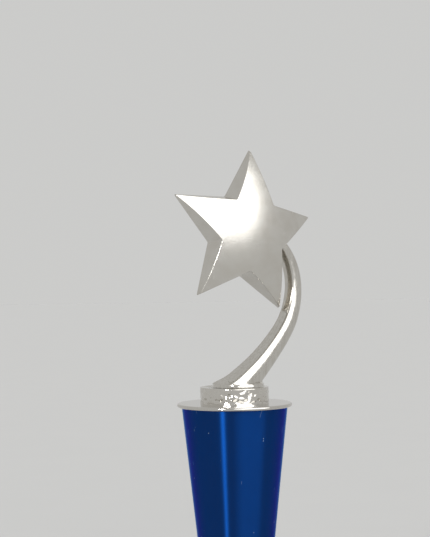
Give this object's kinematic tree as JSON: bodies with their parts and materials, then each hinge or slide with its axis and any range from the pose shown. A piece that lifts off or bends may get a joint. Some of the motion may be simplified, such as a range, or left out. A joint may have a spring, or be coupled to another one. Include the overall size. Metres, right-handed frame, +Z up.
{
  "type": "column trophy",
  "caption": "Award trophy: a plated star on a curved stem, on a collar, mirror disc, tapered blue column and weighted round base, held by a tie rod.",
  "frame": {"origin": "middle of the felt pad's underside, on the axis of the column, at the surface the trophy stands on", "axes": "+Z up the column; the star's domed face looks along -Y; the stem curves out towards +X"},
  "size_m": [0.0973, 0.086, 0.2918],
  "materials": {
    "felt": "dense felt",
    "inner_plastic": "moulded, unpolished",
    "ballast_steel": "rough turned",
    "black_base": "polished",
    "blank_plate": "fine brushed, blank",
    "disc_plating": "mirror plated",
    "blue_metallic": "transparent blue lacquer over bright metal",
    "zinc_steel": "zinc plated",
    "collar_plating": "plated over a slightly uneven casting",
    "brass": "turned",
    "figure_plating": "bright plated casting"
  },
  "bodies": {
    "root": {"felt_pad": "felt", "base_cover": "inner_plastic", "base_weight": "ballast_steel", "base_body": "black_base", "name_plate": "blank_plate", "foot_disc": "disc_plating", "column_lower_plug": "inner_plastic", "column_shell": "blue_metallic", "column_upper_plug": "inner_plastic", "cap_disc": "disc_plating", "tie_rod": "zinc_steel", "rod_washer": "zinc_steel", "rod_nut": "zinc_steel", "figure_collar": "collar_plating", "collar_insert": "brass", "figure_screw": "zinc_steel", "swoosh_stem": "figure_plating", "star_shell": "figure_plating", "star_back_plate": "figure_plating", "star_back_screws": "zinc_steel", "star_grub_screw": "zinc_steel"}
  },
  "joints": []
}
